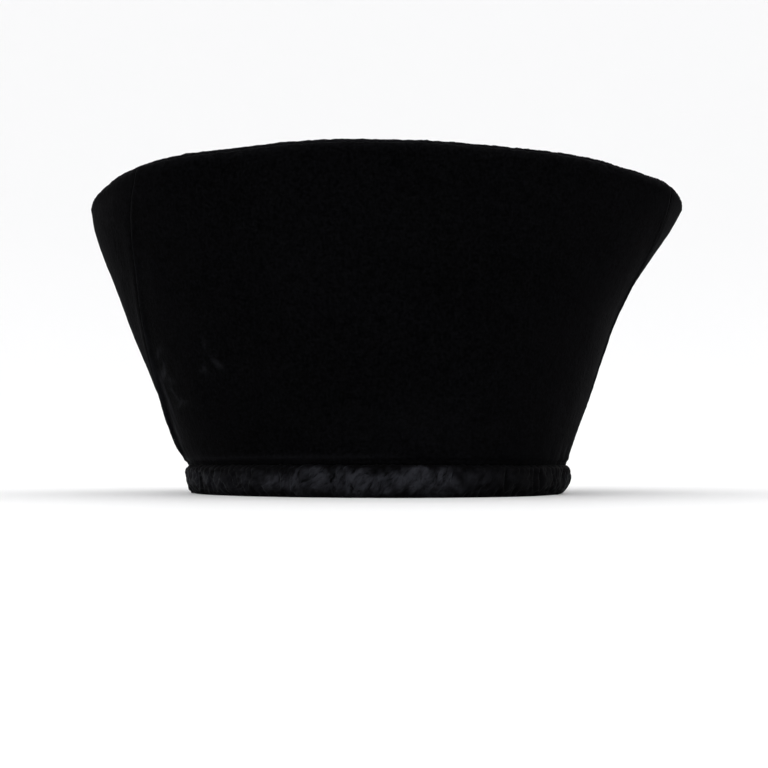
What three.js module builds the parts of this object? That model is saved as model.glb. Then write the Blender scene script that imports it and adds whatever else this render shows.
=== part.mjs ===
// A tall flared cossack hat in black velvet, standing on its binding with the crown up.
// Millimetres, +Z up. The front faces -Y and the wearer's left is +X.
// The origin is on the table, under the middle of the hat.
import * as THREE from 'three';

// Driving dimensions
const HEIGHT = 144.5;
const RIM_WIDTH = 294;
const RIM_DEPTH = 275;
const OPENING_WIDTH = 166;
const OPENING_DEPTH = 206;
const WALL = 3;
const GAP = 0.3;
const RIM_ROUND = 6;
const CROWN_SAG = 3;
const CROWN_LEAN = 4.5;

// The roll of velvet round the head opening
const BINDING_THICK = 11;
const BINDING_TALL = 13;
const BINDING_FLAT = 5;
const BINDING_PROUD = 1.2;
const PUCKER_PITCH = 6.6;

// The slanting ridge seams between the front panel and the back panel
const SEAM_FOOT = 90;
const SEAM_HEAD = 55;
const SEAM_SLANT = 30;
const RIDGE_TALL = 1.4;
const RIDGE_SPREAD = 4;
const RIDGE_FADE = 0.8;

// How fine the cloth is divided
const FRONT_STRIPS = 34;
const BACK_STRIPS = 58;
const CROWN_STRIPS = 88;
const SMOOTH_BINDING_STEP = 5;
const STRIPS_PER_PUCKER = 3;
const CROWDING = 0.6;

// Bearings are in degrees: 0 is the front, 90 the wearer's left and -90 the wearer's right.
// The plan as a share of its ellipse, at the head opening and at the rim.
const PLAN = [
  { bearing: -180, opening: 1.0, rim: 1.0 },
  { bearing: -120, opening: 0.992, rim: 1.006 },
  { bearing: -88, opening: 1.004, rim: 1.006 },
  { bearing: -70, opening: 0.992, rim: 0.993 },
  { bearing: -50, opening: 0.982, rim: 1.002 },
  { bearing: -33, opening: 0.988, rim: 0.986 },
  { bearing: -10, opening: 1.008, rim: 0.988 },
  { bearing: 12, opening: 1.016, rim: 0.983 },
  { bearing: 24, opening: 1.02, rim: 0.987 },
  { bearing: 37, opening: 1.008, rim: 0.99 },
  { bearing: 57, opening: 0.986, rim: 1.01 },
  { bearing: 80, opening: 0.996, rim: 1.0 },
  { bearing: 105, opening: 0.988, rim: 0.968 },
  { bearing: 135, opening: 0.994, rim: 0.98 },
  { bearing: 180, opening: 1.0, rim: 1.0 },
];

// The wall's profile, from its foot at 0 to where the rim starts to turn at 1.
// flare is the share of the way out, and right and left are the millimetres that the
// wearer's right and left side bulge past it.
const PROFILE = [
  { up: 0.0, flare: 0.0, right: 0.6, left: 0.0 },
  { up: 0.12, flare: 0.125, right: 1.4, left: -2.2 },
  { up: 0.24, flare: 0.25, right: 1.8, left: -4.6 },
  { up: 0.34, flare: 0.352, right: 2.0, left: -6.8 },
  { up: 0.44, flare: 0.455, right: 2.0, left: -9.2 },
  { up: 0.56, flare: 0.58, right: 1.4, left: -10.8 },
  { up: 0.7, flare: 0.73, right: 0.8, left: -9.6 },
  { up: 0.82, flare: 0.86, right: 0.8, left: -6.4 },
  { up: 0.92, flare: 0.95, right: 0.8, left: -2.8 },
  { up: 1.0, flare: 1.0, right: 0.0, left: 0.0 },
];

// Gathers of the binding round the nape: how deep the puckers are.
const GATHER = [
  { bearing: -180, depth: 0.7 },
  { bearing: -105, depth: 0.6 },
  { bearing: -80, depth: 0.0 },
  { bearing: 100, depth: 0.0 },
  { bearing: 140, depth: 0.4 },
  { bearing: 180, depth: 0.7 },
];
const GATHER_FROM = -80;
const GATHER_TO = 100;

// The binding's section, flat where it rests. across runs outwards from the middle of the roll.
const BINDING_SECTION = [
  { across: -BINDING_FLAT / 2, up: 0 },
  { across: BINDING_FLAT / 2, up: 0 },
  { across: 0.43 * BINDING_THICK, up: 0.16 * BINDING_TALL },
  { across: 0.5 * BINDING_THICK, up: 0.42 * BINDING_TALL },
  { across: 0.49 * BINDING_THICK, up: 0.72 * BINDING_TALL },
  { across: 0.4 * BINDING_THICK, up: BINDING_TALL },
  { across: 0.02 * BINDING_THICK, up: BINDING_TALL },
  { across: -0.3 * BINDING_THICK, up: 0.93 * BINDING_TALL },
  { across: -0.5 * BINDING_THICK, up: 0.6 * BINDING_TALL },
  { across: -0.45 * BINDING_THICK, up: 0.2 * BINDING_TALL },
];

const WALL_FOOT = BINDING_TALL + GAP;
const WALL_HEAD = HEIGHT - RIM_ROUND;
const RIM_TURNS = [22.5, 43.3];
const CROWN_TURNS = [46.7, 68, 90];
const CROWN_RINGS = [0.8, 0.6, 0.4, 0.2];

const radians = THREE.MathUtils.degToRad;
const degrees = THREE.MathUtils.radToDeg;
const mix = THREE.MathUtils.lerp;

// One column of a table, read at any place along its key: a smooth curve through the rows, whose
// slope at each row is that of the line between the row's two neighbours.
function read(table, key, place, column) {
  const last = table.length - 1;
  const found = table.findIndex((row) => row[key] >= place);
  const after = Math.max(found < 0 ? last : found, 1);
  const before = after - 1;
  const slopeAt = (i) => {
    const [low, high] = [table[Math.max(i - 1, 0)], table[Math.min(i + 1, last)]];
    return (high[column] - low[column]) / (high[key] - low[key]);
  };
  const [start, end] = [table[before], table[after]];
  const span = end[key] - start[key];
  const share = (place - start[key]) / span;
  const rest = 1 - share;
  const swing = rest * slopeAt(before) - share * slopeAt(after);
  const blend = share * share * (3 - 2 * share);
  return mix(start[column], end[column], blend) + span * share * rest * swing;
}

// Half the width and depth of the wall's plan at its foot, a little inside the binding's outside.
const FOOT = {
  x: OPENING_WIDTH / 2 + BINDING_THICK - BINDING_PROUD,
  y: OPENING_DEPTH / 2 + BINDING_THICK - BINDING_PROUD,
};
const RIM = { x: RIM_WIDTH / 2, y: RIM_DEPTH / 2 };

const seamBearing = (up) => mix(SEAM_FOOT, SEAM_HEAD, up);

// How far the cloth stands out along a ridge seam, fading towards the rim.
function ridge(bearing, up) {
  const away = (Math.abs(bearing) - seamBearing(up)) / RIDGE_SPREAD;
  return RIDGE_TALL * (1 - RIDGE_FADE * up) * Math.exp(-away * away);
}

// A place on the hat's outside and on its inside, one wall thickness in. out is the share of the
// way from the foot's ellipse to the rim's, bulge is in millimetres, and lean is the angle in
// degrees at which the outside looks up.
function place(bearing, out, bulge, height, lean) {
  const angle = radians(bearing);
  const plan = mix(read(PLAN, 'bearing', bearing, 'opening'), read(PLAN, 'bearing', bearing, 'rim'), out);
  const x = mix(FOOT.x, RIM.x, out) * plan + bulge;
  const y = mix(FOOT.y, RIM.y, out) * plan + bulge;
  const outer = new THREE.Vector3(x * Math.sin(angle) + CROWN_LEAN * out, -y * Math.cos(angle), height);
  const normal = new THREE.Vector3(y * Math.sin(angle), -x * Math.cos(angle), 0).normalize();
  normal.multiplyScalar(Math.cos(radians(lean))).setZ(Math.sin(radians(lean)));
  return { outer, inner: outer.clone().addScaledVector(normal, -WALL) };
}

// The wall's bulge at a bearing and a share of its height: all of it at the sides, none at the
// front and the back.
function bulgeAt(bearing, up) {
  const side = Math.sin(radians(bearing));
  return read(PROFILE, 'up', up, side > 0 ? 'left' : 'right') * side * side + ridge(bearing, up);
}

// How far out the wall stands, on the measure of the hat's half width.
function reachAt(bearing, up) {
  return mix(FOOT.x, RIM.x, read(PROFILE, 'up', up, 'flare')) + bulgeAt(bearing, up);
}

// The wall at a bearing and a share of its height. Its lean is measured over a short stretch.
const LEAN_STEP = 0.06;
function wallPlace(bearing, up) {
  const below = Math.max(up - LEAN_STEP, 0);
  const above = Math.min(up + LEAN_STEP, 1);
  const run = reachAt(bearing, above) - reachAt(bearing, below);
  const rise = (above - below) * (WALL_HEAD - WALL_FOOT);
  const lean = up < 1 ? -degrees(Math.atan2(run, rise)) : 0;
  const out = read(PROFILE, 'up', up, 'flare');
  return place(bearing, out, bulgeAt(bearing, up), mix(WALL_FOOT, WALL_HEAD, up), lean);
}

// The rim's soft corner: turn is 0 on the wall and 90 on the flat of the crown.
function cornerPlace(bearing, turn) {
  const inward = RIM_ROUND * (Math.cos(radians(turn)) - 1);
  const height = WALL_HEAD + RIM_ROUND * Math.sin(radians(turn));
  return place(bearing, 1, inward + ridge(bearing, 1), height, turn);
}

// The crown's flat, where share runs from 0 in the middle to 1 at the rim's corner.
function crownPlace(bearing, share) {
  const edge = cornerPlace(bearing, 90).outer;
  const height = HEIGHT - CROWN_SAG * (1 - share * share);
  const outer = new THREE.Vector3(mix(CROWN_LEAN, edge.x, share), edge.y * share, height);
  return { outer, inner: outer.clone().setZ(height - WALL) };
}

// A closed body from lists of points and of triangles between them.
function body(points, triangles) {
  const geometry = new THREE.BufferGeometry();
  geometry.setAttribute('position', new THREE.Float32BufferAttribute(points.flatMap((p) => p.toArray()), 3));
  geometry.setIndex(triangles.flat());
  geometry.computeVertexNormals();
  return geometry;
}

// Two triangles between four points given in order round a face.
const quad = (a, b, c, d) => [[a, b, c], [a, c, d]];

// A sheet of cloth with a thickness: strips run up the wall, side by side, and end on open edges.
function clothPatch(strips) {
  const rows = strips[0].length;
  const count = strips.length;
  const places = strips.flat();
  const points = [...places.map((p) => p.outer), ...places.map((p) => p.inner)];
  const outer = (c, r) => c * rows + r;
  const inner = (c, r) => (count + c) * rows + r;
  const triangles = [];
  for (let c = 0; c + 1 < count; c += 1) {
    for (let r = 0; r + 1 < rows; r += 1) {
      triangles.push(...quad(outer(c, r), outer(c + 1, r), outer(c + 1, r + 1), outer(c, r + 1)));
      triangles.push(...quad(inner(c, r), inner(c, r + 1), inner(c + 1, r + 1), inner(c + 1, r)));
    }
    triangles.push(...quad(outer(c, 0), inner(c, 0), inner(c + 1, 0), outer(c + 1, 0)));
    const top = rows - 1;
    triangles.push(...quad(outer(c, top), outer(c + 1, top), inner(c + 1, top), inner(c, top)));
  }
  for (let r = 0; r + 1 < rows; r += 1) {
    const last = count - 1;
    triangles.push(...quad(outer(0, r), outer(0, r + 1), inner(0, r + 1), inner(0, r)));
    triangles.push(...quad(outer(last, r), inner(last, r), inner(last, r + 1), outer(last, r + 1)));
  }
  return body(points, triangles);
}

// A round sheet of cloth with a thickness: strips run from the rim to one shared middle point.
function clothDisc(strips, middle) {
  const rows = strips[0].length;
  const count = strips.length;
  const places = [...strips.flat(), middle];
  const points = [...places.map((p) => p.outer), ...places.map((p) => p.inner)];
  const outer = (c, r) => (c % count) * rows + r;
  const upperMiddle = count * rows;
  const lowerMiddle = 2 * upperMiddle + 1;
  const inner = (c, r) => upperMiddle + 1 + outer(c, r);
  const triangles = [];
  for (let c = 0; c < count; c += 1) {
    for (let r = 0; r + 1 < rows; r += 1) {
      triangles.push(...quad(outer(c, r), outer(c + 1, r), outer(c + 1, r + 1), outer(c, r + 1)));
      triangles.push(...quad(inner(c, r), inner(c, r + 1), inner(c + 1, r + 1), inner(c + 1, r)));
    }
    triangles.push(...quad(outer(c, 0), inner(c, 0), inner(c + 1, 0), outer(c + 1, 0)));
    triangles.push([outer(c, rows - 1), outer(c + 1, rows - 1), upperMiddle]);
    triangles.push([inner(c, rows - 1), lowerMiddle, inner(c + 1, rows - 1)]);
  }
  return body(points, triangles);
}

// A closed ring from sections that all have the same points.
function ring(sections) {
  const size = sections[0].length;
  const count = sections.length;
  const at = (s, p) => (s % count) * size + (p % size);
  const triangles = [];
  for (let s = 0; s < count; s += 1) {
    for (let p = 0; p < size; p += 1) {
      triangles.push(...quad(at(s, p), at(s + 1, p), at(s + 1, p + 1), at(s, p + 1)));
    }
  }
  return body(sections.flat(), triangles);
}

// Shares from 0 to 1 that crowd towards both ends, where the ridge seams are.
function crowdedShares(count) {
  return Array.from({ length: count + 1 }, (_, i) => {
    const even = i / count;
    return mix(even, (1 - Math.cos(Math.PI * even)) / 2, CROWDING);
  });
}

// One strip of wall from the binding up to the seam at the rim's corner, where bearingAt gives
// its bearing at each share of the height.
function wallStrip(bearingAt) {
  const rising = PROFILE.map((row) => wallPlace(bearingAt(row.up), row.up));
  const turning = RIM_TURNS.map((turn) => cornerPlace(bearingAt(1), turn));
  return [...rising, ...turning];
}

// A panel's edge at a slanting seam: the seam's bearing, less or more half the gap between the
// two panels. The slant makes the gap wider along the level than square to the seam.
function seamEdge(up, side) {
  const halfGap = GAP / 2 / Math.cos(radians(SEAM_SLANT));
  return seamBearing(up) + degrees((side * halfGap) / mix(FOOT.x, RIM.x, up));
}

// Bearings past 180 are brought back into the tables' range.
const wrapped = (bearing) => (bearing > 180 ? bearing - 360 : bearing);

function frontPanel() {
  const strips = crowdedShares(FRONT_STRIPS).map((across) => (
    wallStrip((up) => mix(-seamEdge(up, -1), seamEdge(up, -1), across))
  ));
  return clothPatch(strips);
}

function backPanel() {
  const strips = crowdedShares(BACK_STRIPS).map((across) => (
    wallStrip((up) => wrapped(mix(seamEdge(up, 1), 360 - seamEdge(up, 1), across)))
  ));
  return clothPatch(strips);
}

function crownTop() {
  const strips = Array.from({ length: CROWN_STRIPS }, (_, i) => {
    const bearing = wrapped((360 * i) / CROWN_STRIPS);
    const turning = CROWN_TURNS.map((turn) => cornerPlace(bearing, turn));
    return [...turning, ...CROWN_RINGS.map((share) => crownPlace(bearing, share))];
  });
  return clothDisc(strips, crownPlace(0, 0));
}

// The bearings at which the binding has a section: even steps round the front, and a few to
// each pucker round the nape.
function bindingBearings() {
  const smoothArc = GATHER_TO - GATHER_FROM;
  const smoothCount = Math.round(smoothArc / SMOOTH_BINDING_STEP);
  const smooth = Array.from({ length: smoothCount }, (_, i) => ({
    bearing: GATHER_FROM + (smoothArc * i) / smoothCount,
    pucker: 0,
  }));
  const gatheredArc = 360 - smoothArc;
  const meanRadius = (FOOT.x + FOOT.y) / 2;
  const puckers = Math.round((radians(gatheredArc) * meanRadius) / PUCKER_PITCH);
  const count = puckers * STRIPS_PER_PUCKER;
  const gathered = Array.from({ length: count }, (_, i) => ({
    bearing: wrapped(GATHER_TO + (gatheredArc * i) / count),
    pucker: (1 - Math.cos((2 * Math.PI * i) / STRIPS_PER_PUCKER)) / 2,
  }));
  return [...smooth, ...gathered];
}

function browBinding() {
  const middle = { x: (OPENING_WIDTH + BINDING_THICK) / 2, y: (OPENING_DEPTH + BINDING_THICK) / 2 };
  const sections = bindingBearings().map(({ bearing, pucker }) => {
    const angle = radians(bearing);
    const plan = read(PLAN, 'bearing', bearing, 'opening');
    const sunk = read(GATHER, 'bearing', bearing, 'depth') * pucker;
    const radial = new THREE.Vector3(Math.sin(angle) * middle.y, -Math.cos(angle) * middle.x, 0).normalize();
    return BINDING_SECTION.map(({ across, up }) => {
      const outside = up > 0 && across > 0 ? sunk : 0;
      const centre = new THREE.Vector3(middle.x * plan * Math.sin(angle), -middle.y * plan * Math.cos(angle), up);
      return centre.addScaledVector(radial, across - outside);
    });
  });
  return ring(sections);
}

function velvet(colour, roughness) {
  return new THREE.MeshStandardMaterial({ color: colour, roughness, metalness: 0 });
}

function piece(name, geometry, material) {
  const mesh = new THREE.Mesh(geometry, material);
  mesh.name = name;
  return mesh;
}

const hat = new THREE.Group();
hat.add(
  piece('front_panel', frontPanel(), velvet(0x0b0b0d, 0.95)),
  piece('back_panel', backPanel(), velvet(0x0a0a0c, 0.95)),
  piece('crown_top', crownTop(), velvet(0x0c0c0e, 0.95)),
  piece('brow_binding', browBinding(), velvet(0x16181f, 0.8)),
);

// The origin is set under the middle of the hat's outline, seen from above.
const outline = new THREE.Box3().setFromObject(hat);
const centre = outline.getCenter(new THREE.Vector3());
hat.children.forEach((mesh) => mesh.geometry.translate(-centre.x, -centre.y, 0));

export default hat;
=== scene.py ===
# %% [markdown]
# # A tall flared hat in black velvet
# The real hat is sewn from four pieces of velvet over a stiff foundation. A front panel and a back
# panel meet at slanting ridge seams, a crown closes the top, and a soft roll of velvet binds the
# head opening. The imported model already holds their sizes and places, so it is loaded first and
# never moved. Everything after it is the look: finer surfaces, velvet, light and a camera.

# %% Load the frame
import itertools
import math

import bpy
import numpy as np
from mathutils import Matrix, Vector


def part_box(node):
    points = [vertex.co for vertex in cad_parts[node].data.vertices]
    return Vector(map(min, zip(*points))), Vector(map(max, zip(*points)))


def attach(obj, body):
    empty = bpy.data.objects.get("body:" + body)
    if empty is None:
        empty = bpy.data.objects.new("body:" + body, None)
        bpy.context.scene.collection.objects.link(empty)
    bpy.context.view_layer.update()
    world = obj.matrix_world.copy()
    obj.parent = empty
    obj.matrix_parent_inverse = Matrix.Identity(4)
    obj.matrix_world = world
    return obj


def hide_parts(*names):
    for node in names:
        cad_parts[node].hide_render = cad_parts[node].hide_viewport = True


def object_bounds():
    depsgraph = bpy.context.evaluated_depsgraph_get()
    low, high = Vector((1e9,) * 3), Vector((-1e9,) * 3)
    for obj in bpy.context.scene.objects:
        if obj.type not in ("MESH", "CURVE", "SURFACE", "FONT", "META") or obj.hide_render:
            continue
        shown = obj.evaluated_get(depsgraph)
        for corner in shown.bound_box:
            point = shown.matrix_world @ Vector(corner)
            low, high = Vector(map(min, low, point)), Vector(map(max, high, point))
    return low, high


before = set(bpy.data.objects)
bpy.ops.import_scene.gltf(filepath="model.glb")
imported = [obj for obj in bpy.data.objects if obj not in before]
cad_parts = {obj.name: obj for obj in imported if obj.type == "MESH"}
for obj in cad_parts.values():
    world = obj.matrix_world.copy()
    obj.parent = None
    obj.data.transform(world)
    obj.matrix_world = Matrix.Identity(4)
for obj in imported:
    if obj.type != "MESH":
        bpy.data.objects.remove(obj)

cad_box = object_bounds()
print("nodes:", ", ".join(sorted(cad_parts)))
print("box in mm:", [round(1000 * v, 1) for corner in cad_box for v in corner])

# %% [markdown]
# ## Sizes
# A hat maker works from a few measures: how tall, how wide at the rim, how wide at the head. The
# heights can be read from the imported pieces, so that the render can't drift from them. All shapes
# below are worked out in millimetres, and one factor turns them into Blender's metres at the end.

# %% Read the heights from the frame
MM = 0.001


def node_heights(node):
    """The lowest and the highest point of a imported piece, in millimetres."""
    low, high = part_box(node)
    return low.z / MM, high.z / MM


ROLL_TALL = node_heights("brow_binding")[1]
WALL_FOOT = node_heights("front_panel")[0]
WALL_HEAD, HEIGHT = node_heights("crown_top")
WALL_TALL = WALL_HEAD - WALL_FOOT
RIM_ROUND = HEIGHT - WALL_HEAD
print(f"roll {ROLL_TALL:.1f}, wall from {WALL_FOOT:.1f} to {WALL_HEAD:.1f}, top {HEIGHT:.1f} mm")

# %% The widths, and the cloth's thickness
RIM_HALF = np.array([294, 275]) / 2
OPENING_HALF = np.array([166, 206]) / 2
ROLL_THICK = 11
ROLL_PROUD = 1.2
FOOT_HALF = OPENING_HALF + ROLL_THICK - ROLL_PROUD
CLOTH = 3
CROWN_SAG = 3
CROWN_LEAN = 4.5
print("foot of the wall:", 2 * FOOT_HALF, "rim:", 2 * RIM_HALF, "mm")

# %% [markdown]
# ## The pattern
# No stretched cloth is a perfect cone. Two short tables say how this one departs from it. The plan
# gives the opening and the rim as shares of an ellipse at each bearing: 0 is the front, 90 the
# wearer's left. The profile gives how the wall flares on its way up, and how far the wearer's right
# and left side bulge past that. Between the rows a smooth curve is read, as a French curve is
# laid through pencil marks.

# %% Tables with named columns
def table(columns, rows):
    """A table as a dict: each named column is an array."""
    return dict(zip(columns.split(), np.array(rows, float).T))


PLAN = table("bearing opening rim", [
    (-180, 1.0, 1.0),
    (-120, 0.992, 1.006),
    (-88, 1.004, 1.006),
    (-70, 0.992, 0.993),
    (-50, 0.982, 1.002),
    (-33, 0.988, 0.986),
    (-10, 1.008, 0.988),
    (12, 1.016, 0.983),
    (24, 1.02, 0.987),
    (37, 1.008, 0.99),
    (57, 0.986, 1.01),
    (80, 0.996, 1.0),
    (105, 0.988, 0.968),
    (135, 0.994, 0.98),
    (180, 1.0, 1.0),
])

PROFILE = table("up flare right left", [
    (0.0, 0.0, 0.6, 0.0),
    (0.12, 0.125, 1.4, -2.2),
    (0.24, 0.25, 1.8, -4.6),
    (0.34, 0.352, 2.0, -6.8),
    (0.44, 0.455, 2.0, -9.2),
    (0.56, 0.58, 1.4, -10.8),
    (0.7, 0.73, 0.8, -9.6),
    (0.82, 0.86, 0.8, -6.4),
    (0.92, 0.95, 0.8, -2.8),
    (1.0, 1.0, 0.0, 0.0),
])


def read(rows, key, places, column):
    """A column at any places along its key. Between two rows it is the cubic through both, whose
    slope at each row is that of the line between the row's two neighbours."""
    keys, values = rows[key], rows[column]
    ends = np.arange(len(keys))
    low, high = np.maximum(ends - 1, 0), np.minimum(ends + 1, len(keys) - 1)
    slopes = (values[high] - values[low]) / (keys[high] - keys[low])
    before = np.clip(np.searchsorted(keys, places) - 1, 0, len(keys) - 2)
    span = keys[before + 1] - keys[before]
    share = (places - keys[before]) / span
    rest = 1 - share
    swing = rest * slopes[before] - share * slopes[before + 1]
    ease = share * share * (3 - 2 * share)
    return values[before] * (1 - ease) + values[before + 1] * ease + span * share * rest * swing


print("flare half way up:", round(float(read(PROFILE, "up", np.array([0.5]), "flare")[0]), 3))

# %% [markdown]
# ## Noise that belongs to the cloth
# Velvet is never even: the pile leans this way and that, and the foundation under it is a little
# wavy. Both come from smooth noise. It is worked out from each point's place in space, so that it
# runs on across the seams, and its seed is fixed, so that each run gives the same hat.

# %% Smooth noise
LATTICE = (128, 64, 64)
NOISE_GAIN = 1.5
TILT = np.linalg.qr([[3.0, 1.0, -2.0], [-1.0, 4.0, 1.0], [2.0, -1.0, 3.0]])[0]


def smooth_step(low, high, value):
    """0 below low, 1 above high and the curve 3t²-2t³ between them."""
    t = np.clip((value - low) / (high - low), 0, 1)
    return t * t * (3 - 2 * t)


def noise(cells, seed, around=LATTICE[0]):
    """Noise from about -1 to 1 at places counted in cells. Each corner of a cubic lattice holds a
    random slope, and a place gets what the slopes of its cell's eight corners say there, weighted
    by 3t²-2t³ along each axis. Along the first axis it repeats after `around` cells."""
    slopes = np.random.default_rng(seed).normal(size=(*LATTICE, 3))
    slopes /= np.linalg.norm(slopes, axis=-1, keepdims=True)
    corner = np.floor(cells).astype(int)
    t = smooth_step(0, 1, cells - corner)
    total = np.zeros(cells.shape[:-1])
    for step in itertools.product((0, 1), repeat=3):
        at = (corner + step) % (around, *LATTICE[1:])
        weight = np.prod(np.where(step, t, 1 - t), axis=-1)
        slope = slopes[at[..., 0], at[..., 1], at[..., 2]]
        total += weight * (slope * (cells - corner - step)).sum(-1)
    return NOISE_GAIN * total


def drift(points, cell, seed):
    """Noise in space, with cells of the given size in millimetres, turned out of the axes."""
    return noise(points @ TILT / cell, seed)


def layers(points, rows):
    """Drifts on top of each other. Each row is a height, a cell size in millimetres and a seed."""
    return sum(height * drift(points, cell, seed) for height, cell, seed in rows)


def bell(distance, width):
    """1 at no distance, and falling to nothing over a few widths as exp(-(d/w)²) does."""
    return np.exp(-((distance / width) ** 2))


def bells(distance, rows):
    """Bells beside each other. Each row is a height, the place of its middle and a width."""
    return sum(height * bell(distance - place, width) for height, place, width in rows)


trial = drift(np.random.default_rng(1).uniform(0, 500, (2000, 3)), 20, 5)
print(f"noise runs from {trial.min():.2f} to {trial.max():.2f}")

# %% [markdown]
# ## The hat's surface
# The wall is a function of two parameters, the bearing and how far up it lies. At the rim it turns
# through a soft corner into the crown. A revolved profile would be round and even, so the radius
# comes from the tables instead. Once a grid of points is there, the direction square to the cloth
# is the cross product of the grid's two directions, and thickness and relief go along it.

# %% From parameters to points
def mix(a, b, share):
    """The value a share of the way from a to b."""
    return a + (b - a) * share


def wall_points(bearing, up, turn):
    """The wall without seams. x is half the width times the sine of the bearing and y half the
    depth times minus its cosine, where both half sizes go from the foot's to the rim's by the
    profile's flare, times the plan's share, plus the bulge. turn, in radians, rolls the top edge
    over: it moves in by r(1 - cos) and up by r sin."""
    angle = np.radians(bearing)
    out = read(PROFILE, "up", up, "flare")
    plan = mix(read(PLAN, "bearing", bearing, "opening"), read(PLAN, "bearing", bearing, "rim"), out)
    left, right = (read(PROFILE, "up", up, side) for side in ("left", "right"))
    bulge = np.where(np.sin(angle) > 0, left, right) * np.sin(angle) ** 2
    bulge = bulge - RIM_ROUND * (1 - np.cos(turn))
    half_x, half_y = (mix(FOOT_HALF[i], RIM_HALF[i], out) * plan + bulge for i in (0, 1))
    height = mix(WALL_FOOT, WALL_HEAD, up) + RIM_ROUND * np.sin(turn)
    return np.stack([half_x * np.sin(angle) + CROWN_LEAN * out, -half_y * np.cos(angle), height], -1)


def square_to(grid, around=0):
    """Unit vectors square to a grid of points (columns, rows, 3): the cross product of its two
    directions. around is how many of them close on themselves: none, the columns, or both."""
    pads = [(1, 1) if axis < around else (0, 0) for axis in range(3)]
    grid = np.pad(grid, pads, mode="wrap")
    normal = np.cross(np.gradient(grid, axis=0), np.gradient(grid, axis=1))
    normal = normal[tuple(slice(low, -high or None) for low, high in pads)]
    return normal / np.maximum(np.linalg.norm(normal, axis=-1, keepdims=True), 1e-12)


bearings, ups = np.meshgrid(np.linspace(-180, 180, 721), np.linspace(0, 1, 101), indexing="ij")
rough = wall_points(bearings, ups, np.zeros_like(ups))
middle = (rough.min(axis=(0, 1)) + rough.max(axis=(0, 1))) / 2
shift = np.array([*((cad_box[0] + cad_box[1]) / 2 / MM)[:2], 0]) - [middle[0], middle[1], 0]
print("the outline's middle moves by", shift.round(2), "mm to stand where the frame's does")

# %% [markdown]
# ## From points to a closed sheet
# Cloth has two sides and a cut edge. The outside needs a fine grid for the pile, and the inside is
# plain, so it takes only every few points of it. The edge strip between them is a zip: each outer
# step meets the nearest inner point, and each inner step closes one triangle. Solidify would be
# simpler, but it would spend half of the triangles on a side that the pile never shows.

# %% Meshes from arrays
CLOTH_MAP = "cloth"


def mesh_object(name, points, faces, marks, cloth_map=None):
    """A mesh object from points in millimetres, arrays of faces (one array for each number of
    corners) and marks, a dict of one value per point that the materials read. cloth_map gives
    each face corner its place on the flat cloth."""
    mesh = bpy.data.meshes.new(name)
    corners = np.concatenate([f.ravel() for f in faces])
    sizes = np.concatenate([np.full(len(f), f.shape[1]) for f in faces])
    mesh.vertices.add(len(points))
    mesh.vertices.foreach_set("co", (points * MM).astype(np.float32).ravel())
    mesh.loops.add(len(corners))
    mesh.loops.foreach_set("vertex_index", corners.astype(np.int32))
    mesh.polygons.add(len(sizes))
    mesh.polygons.foreach_set("loop_start", (np.cumsum(sizes) - sizes).astype(np.int32))
    mesh.polygons.foreach_set("use_smooth", np.ones(len(sizes), bool))
    mesh.update(calc_edges=True)
    for mark, values in marks.items():
        mesh.attributes.new(mark, "FLOAT", "POINT").data.foreach_set("value", values.astype(np.float32))
    if cloth_map is not None:
        mesh.uv_layers.new(name=CLOTH_MAP).data.foreach_set("uv", cloth_map.astype(np.float32).ravel())
    if mesh.validate():
        raise ValueError(f"{name} has faces that Blender had to mend")
    piece = bpy.data.objects.new(name, mesh)
    bpy.context.scene.collection.objects.link(piece)
    print(f"{name}: {len(points)} points, {int((sizes - 2).sum())} triangles")
    return piece


def quads(grid, around=0):
    """The four corners of each cell of a grid of point numbers, in order round its outside."""
    grid = np.pad(grid, [(0, int(around > axis)) for axis in (0, 1)], mode="wrap")
    a, b, c, d = grid[:-1, :-1], grid[1:, :-1], grid[1:, 1:], grid[:-1, 1:]
    return np.stack([a, b, c, d], -1).reshape(-1, 4)


def border(grid):
    """The point numbers once round a grid, starting at its first column and row."""
    return np.concatenate([grid[:-1, 0], grid[-1, :-1], grid[:0:-1, -1], grid[0, :0:-1]])


COARSE = 4


def zip_edges(outer, inner):
    """Triangles between two loops of point numbers, where the inner has one point to COARSE points
    of the outer. An outer step meets the inner point nearest to it, and an inner step meets the
    outer point half way along it."""
    steps = np.arange(len(outer))
    nearest = inner[((steps + COARSE // 2) // COARSE) % len(inner)]
    outer_side = np.stack([np.roll(outer, -1), outer, nearest], -1)
    halfway = outer[np.arange(len(inner)) * COARSE + COARSE // 2]
    inner_side = np.stack([inner, np.roll(inner, -1), halfway], -1)
    return np.concatenate([outer_side, inner_side])


def sheet_object(name, outer, inner, marks):
    """A closed sheet of cloth with an outside grid and, one cloth in, a grid of every fourth
    point each way. Marks are given on the outside's grid, and they are 0 inside."""
    inner = inner[::COARSE, ::COARSE]
    numbers = np.arange(outer[..., 0].size).reshape(outer.shape[:2])
    inner_numbers = numbers.size + np.arange(inner[..., 0].size).reshape(inner.shape[:2])
    faces = [
        quads(numbers),
        quads(inner_numbers)[:, ::-1],
        zip_edges(border(numbers), border(inner_numbers)),
    ]
    points = np.concatenate([outer.reshape(-1, 3), inner.reshape(-1, 3)]) + shift
    blank = np.zeros(inner[..., 0].size)
    marks = {mark: np.concatenate([values.ravel(), blank]) for mark, values in marks.items()}
    return mesh_object(name, points, faces, marks)


print("the inside of a sheet has 1 point to", COARSE * COARSE, "on its outside")

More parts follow.
